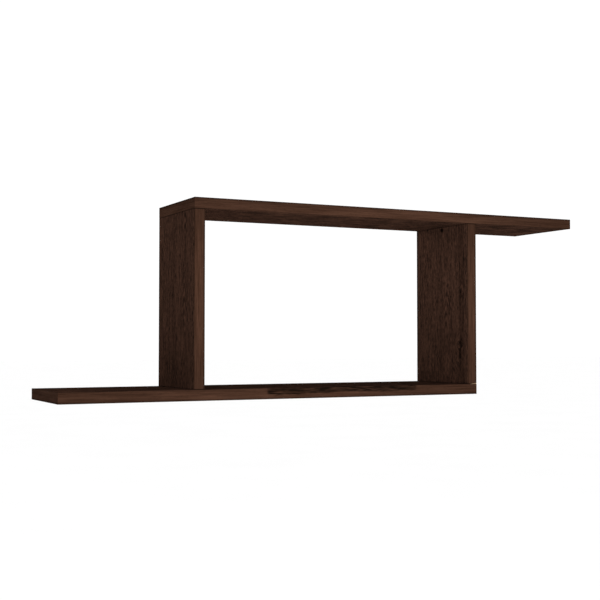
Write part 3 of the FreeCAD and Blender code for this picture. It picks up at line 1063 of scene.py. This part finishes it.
def hanger_shape(node):
    """Keyhole plate in its own frame: y = 0 on the wall plane, height 0 at its middle."""
    low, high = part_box(node)
    width = high.x - low.x
    thickness = high.y - low.y
    plate = round_ended(width, high.z - low.z, thickness)
    entry_z = -(low.z + high.z) / 2
    through = thickness + 2 * PAST
    into = -AXES["Y"]
    entry = cylinder(KEYHOLE_ENTRY, Vector((0, PAST, entry_z)), into, through)
    slot = round_ended(KEYHOLE_SLOT, KEYHOLE_REST - entry_z + KEYHOLE_SLOT, through)
    bmesh.ops.translate(slot, vec=(0, PAST, (KEYHOLE_REST + entry_z) / 2), verts=slot.verts)
    cutters = [entry, slot]
    for z in (PLATE_SCREW_RISE, -PLATE_SCREW_RISE):
        start = Vector((0, PAST, z))
        wide = COUNTERSINK + PAST
        cutters.append(cylinder(SCREW_HOLE, start, into, through))
        cutters.append(cylinder(wide, start, into, wide, end_radius=CONE_TIP))
    return eased(carved(plate, cutters), PLATE_EASE)


def screw_shape():
    """Countersunk wood screw in its own frame: head at height 0, point at -Z."""
    settings = bpy.context.scene.shelf_fittings
    head = 3.0 * MM
    rim = 0.1 * MM
    core = 1.05 * MM
    outer = 1.5 * MM
    shank = outer * 0.95
    shank_end = 3.2 * MM
    thread_start = 3.4 * MM
    core_start = 3.8 * MM
    length = 16.0 * MM
    tip = 3.0 * MM
    body = turned([
        (0, 0),
        (head - rim, 0),
        (head, -rim * 1.2),
        (shank, outer - head - rim),
        (shank, -shank_end),
        (core, -core_start),
        (core, tip - length),
        (core * 0.5, tip * 0.3 - length),
        (0, -length),
    ], steps=48)
    drive = cross_cutter(length=3.5 * MM, width=0.7 * MM, depth=1.4 * MM, core=0.75 * MM)
    ridge = thread(core - THREAD_SINK, outer, tip - length, -thread_start, settings.screw_pitch)
    return joined(carved(body, drive), ridge)


class SHELF_OT_hanger_plates(bpy.types.Operator):
    """Make the keyhole plates in the uprights' backs"""

    bl_idname = "shelf.hanger_plates"
    bl_label = "Hanger Plates"

    def execute(self, context):
        material = plated_steel()
        for side in ("left", "right"):
            node = side + "_hanger_plate"
            centre = middle(node)
            shift = Matrix.Translation((centre.x, 0, centre.z))
            shape = hanger_shape(node)
            bmesh.ops.transform(shape, matrix=shift, verts=shape.verts)
            name = side + "_keyhole_hanger"
            piece(name, shape, material, ROOT, "zinc_plated_steel", node)
        return {"FINISHED"}


class SHELF_OT_hanger_screws(bpy.types.Operator):
    """Make the countersunk screws of the keyhole plates"""

    bl_idname = "shelf.hanger_screws"
    bl_label = "Hanger Screws"

    def execute(self, context):
        material = plated_steel()
        shape = screw_shape()
        turn = Matrix.Rotation(-math.pi / 2, 4, "X")
        for side in ("left", "right"):
            centre = middle(side + "_hanger_plate")
            screws = []
            for sign, angle in SCREW_TWISTS.items():
                shift = Matrix.Translation((centre.x, 0, centre.z + sign * PLATE_SCREW_RISE))
                twist = Matrix.Rotation(angle, 4, "Z")
                screws.append(place(shape, shift @ turn @ twist))
            name = side + "_countersunk_screws"
            node = side + "_hanger_screws"
            piece(name, joined(*screws), material, ROOT, "zinc_plated_steel", node)
        shape.free()
        return {"FINISHED"}


# ---- Stage -----------------------------------------------------------------------------------

FLOOR_REACH = 60.0            # metres each way, so that its edge is never seen
FLOOR_TINT = (0.95, 0.95, 0.95)
KEY_SIZE = (1.4, 0.8)
KEY_PLACE = Vector((-0.15, -1.5, -0.15))
KEY_TARGET = Vector((0, 0, -0.1))
CAMERA_PLACE = Vector((-0.911, -1.8292, -0.1666))
CAMERA_RISE = math.radians(2.08)
CAMERA_TURN = math.radians(-26.49)


class SHELF_OT_stage(bpy.types.Operator):
    """Set up the floor, the studio light and the camera"""

    bl_idname = "shelf.stage"
    bl_label = "Stage"

    def execute(self, context):
        settings = context.scene.shelf_stage
        self.floor(settings)
        self.light(context, settings)
        self.camera(context, settings)
        context.scene.view_settings.view_transform = "Standard"
        return {"FINISHED"}

    def floor(self, settings):
        bm = bmesh.new()
        bmesh.ops.create_grid(bm, x_segments=1, y_segments=1, size=FLOOR_REACH)
        bmesh.ops.translate(bm, vec=(0, 0, -settings.floor_drop), verts=bm.verts)
        mesh = bpy.data.meshes.new("floor")
        bm.to_mesh(mesh)
        bm.free()
        shader = Shader("pale_floor")
        x, y, z = shader.place()
        cloud = shader.noise(x / 900, y / 900, z, 2.0)
        tint = shader.dim(FLOOR_TINT, 0.98 + cloud * 0.04)
        mesh.materials.append(shader.finish(tint, 0.9, Specular_IOR_Level=0.1))
        made = bpy.data.objects.new("floor", mesh)
        bpy.context.scene.collection.objects.link(made)

    def light(self, context, settings):
        world = bpy.data.worlds.new("studio")
        world.use_nodes = True
        surround = world.node_tree.nodes["Background"]
        surround.inputs["Color"].default_value = (1, 1, 1, 1)
        surround.inputs["Strength"].default_value = settings.surround
        context.scene.world = world

        lamp = bpy.data.lights.new("key", "AREA")
        lamp.shape = "RECTANGLE"
        lamp.size, lamp.size_y = KEY_SIZE
        lamp.energy = settings.key_power
        key = bpy.data.objects.new("key", lamp)
        key.visible_camera = False
        key.location = KEY_PLACE
        key.rotation_euler = (KEY_TARGET - KEY_PLACE).to_track_quat("-Z", "Y").to_euler()
        context.scene.collection.objects.link(key)

    def camera(self, context, settings):
        data = bpy.data.cameras.new("camera")
        data.lens = settings.lens
        data.sensor_width = 36.0
        data.clip_end = 200.0
        made = bpy.data.objects.new("camera", data)
        made.location = CAMERA_PLACE
        made.rotation_euler = (math.pi / 2 + CAMERA_RISE, 0, CAMERA_TURN)
        context.scene.collection.objects.link(made)
        context.scene.camera = made


# ---- Panel and registration ------------------------------------------------------------------

STEPS = (
    SHELF_OT_boards,
    SHELF_OT_edge_bands,
    SHELF_OT_cam_locks,
    SHELF_OT_cam_bolts,
    SHELF_OT_dowels,
    SHELF_OT_hanger_plates,
    SHELF_OT_hanger_screws,
    SHELF_OT_stage,
)
SETTINGS = {
    "shelf_boards": BoardSettings,
    "shelf_bands": BandSettings,
    "shelf_fittings": FittingSettings,
    "shelf_stage": StageSettings,
}


class SHELF_PT_panel(bpy.types.Panel):
    """The shelf's making, step by step"""

    bl_idname = "SHELF_PT_panel"
    bl_label = "Shelf"
    bl_space_type = "VIEW_3D"
    bl_region_type = "UI"
    bl_category = "Shelf"

    def draw(self, context):
        column = self.layout.column()
        for step in STEPS:
            column.operator(step.bl_idname)
        for name, group in SETTINGS.items():
            box = column.box()
            for field in group.__annotations__:
                box.prop(getattr(context.scene, name), field)


def register():
    for group in SETTINGS.values():
        bpy.utils.register_class(group)
    for step in STEPS:
        bpy.utils.register_class(step)
    bpy.utils.register_class(SHELF_PT_panel)
    for name, group in SETTINGS.items():
        setattr(bpy.types.Scene, name, bpy.props.PointerProperty(type=group))


def unregister():
    for name in SETTINGS:
        delattr(bpy.types.Scene, name)
    bpy.utils.unregister_class(SHELF_PT_panel)
    for step in reversed(STEPS):
        bpy.utils.unregister_class(step)
    for group in SETTINGS.values():
        bpy.utils.unregister_class(group)


def main():
    register()
    for step in STEPS:
        group, name = step.bl_idname.split(".")
        getattr(getattr(bpy.ops, group), name)()


if __name__ == "__main__":
    main()
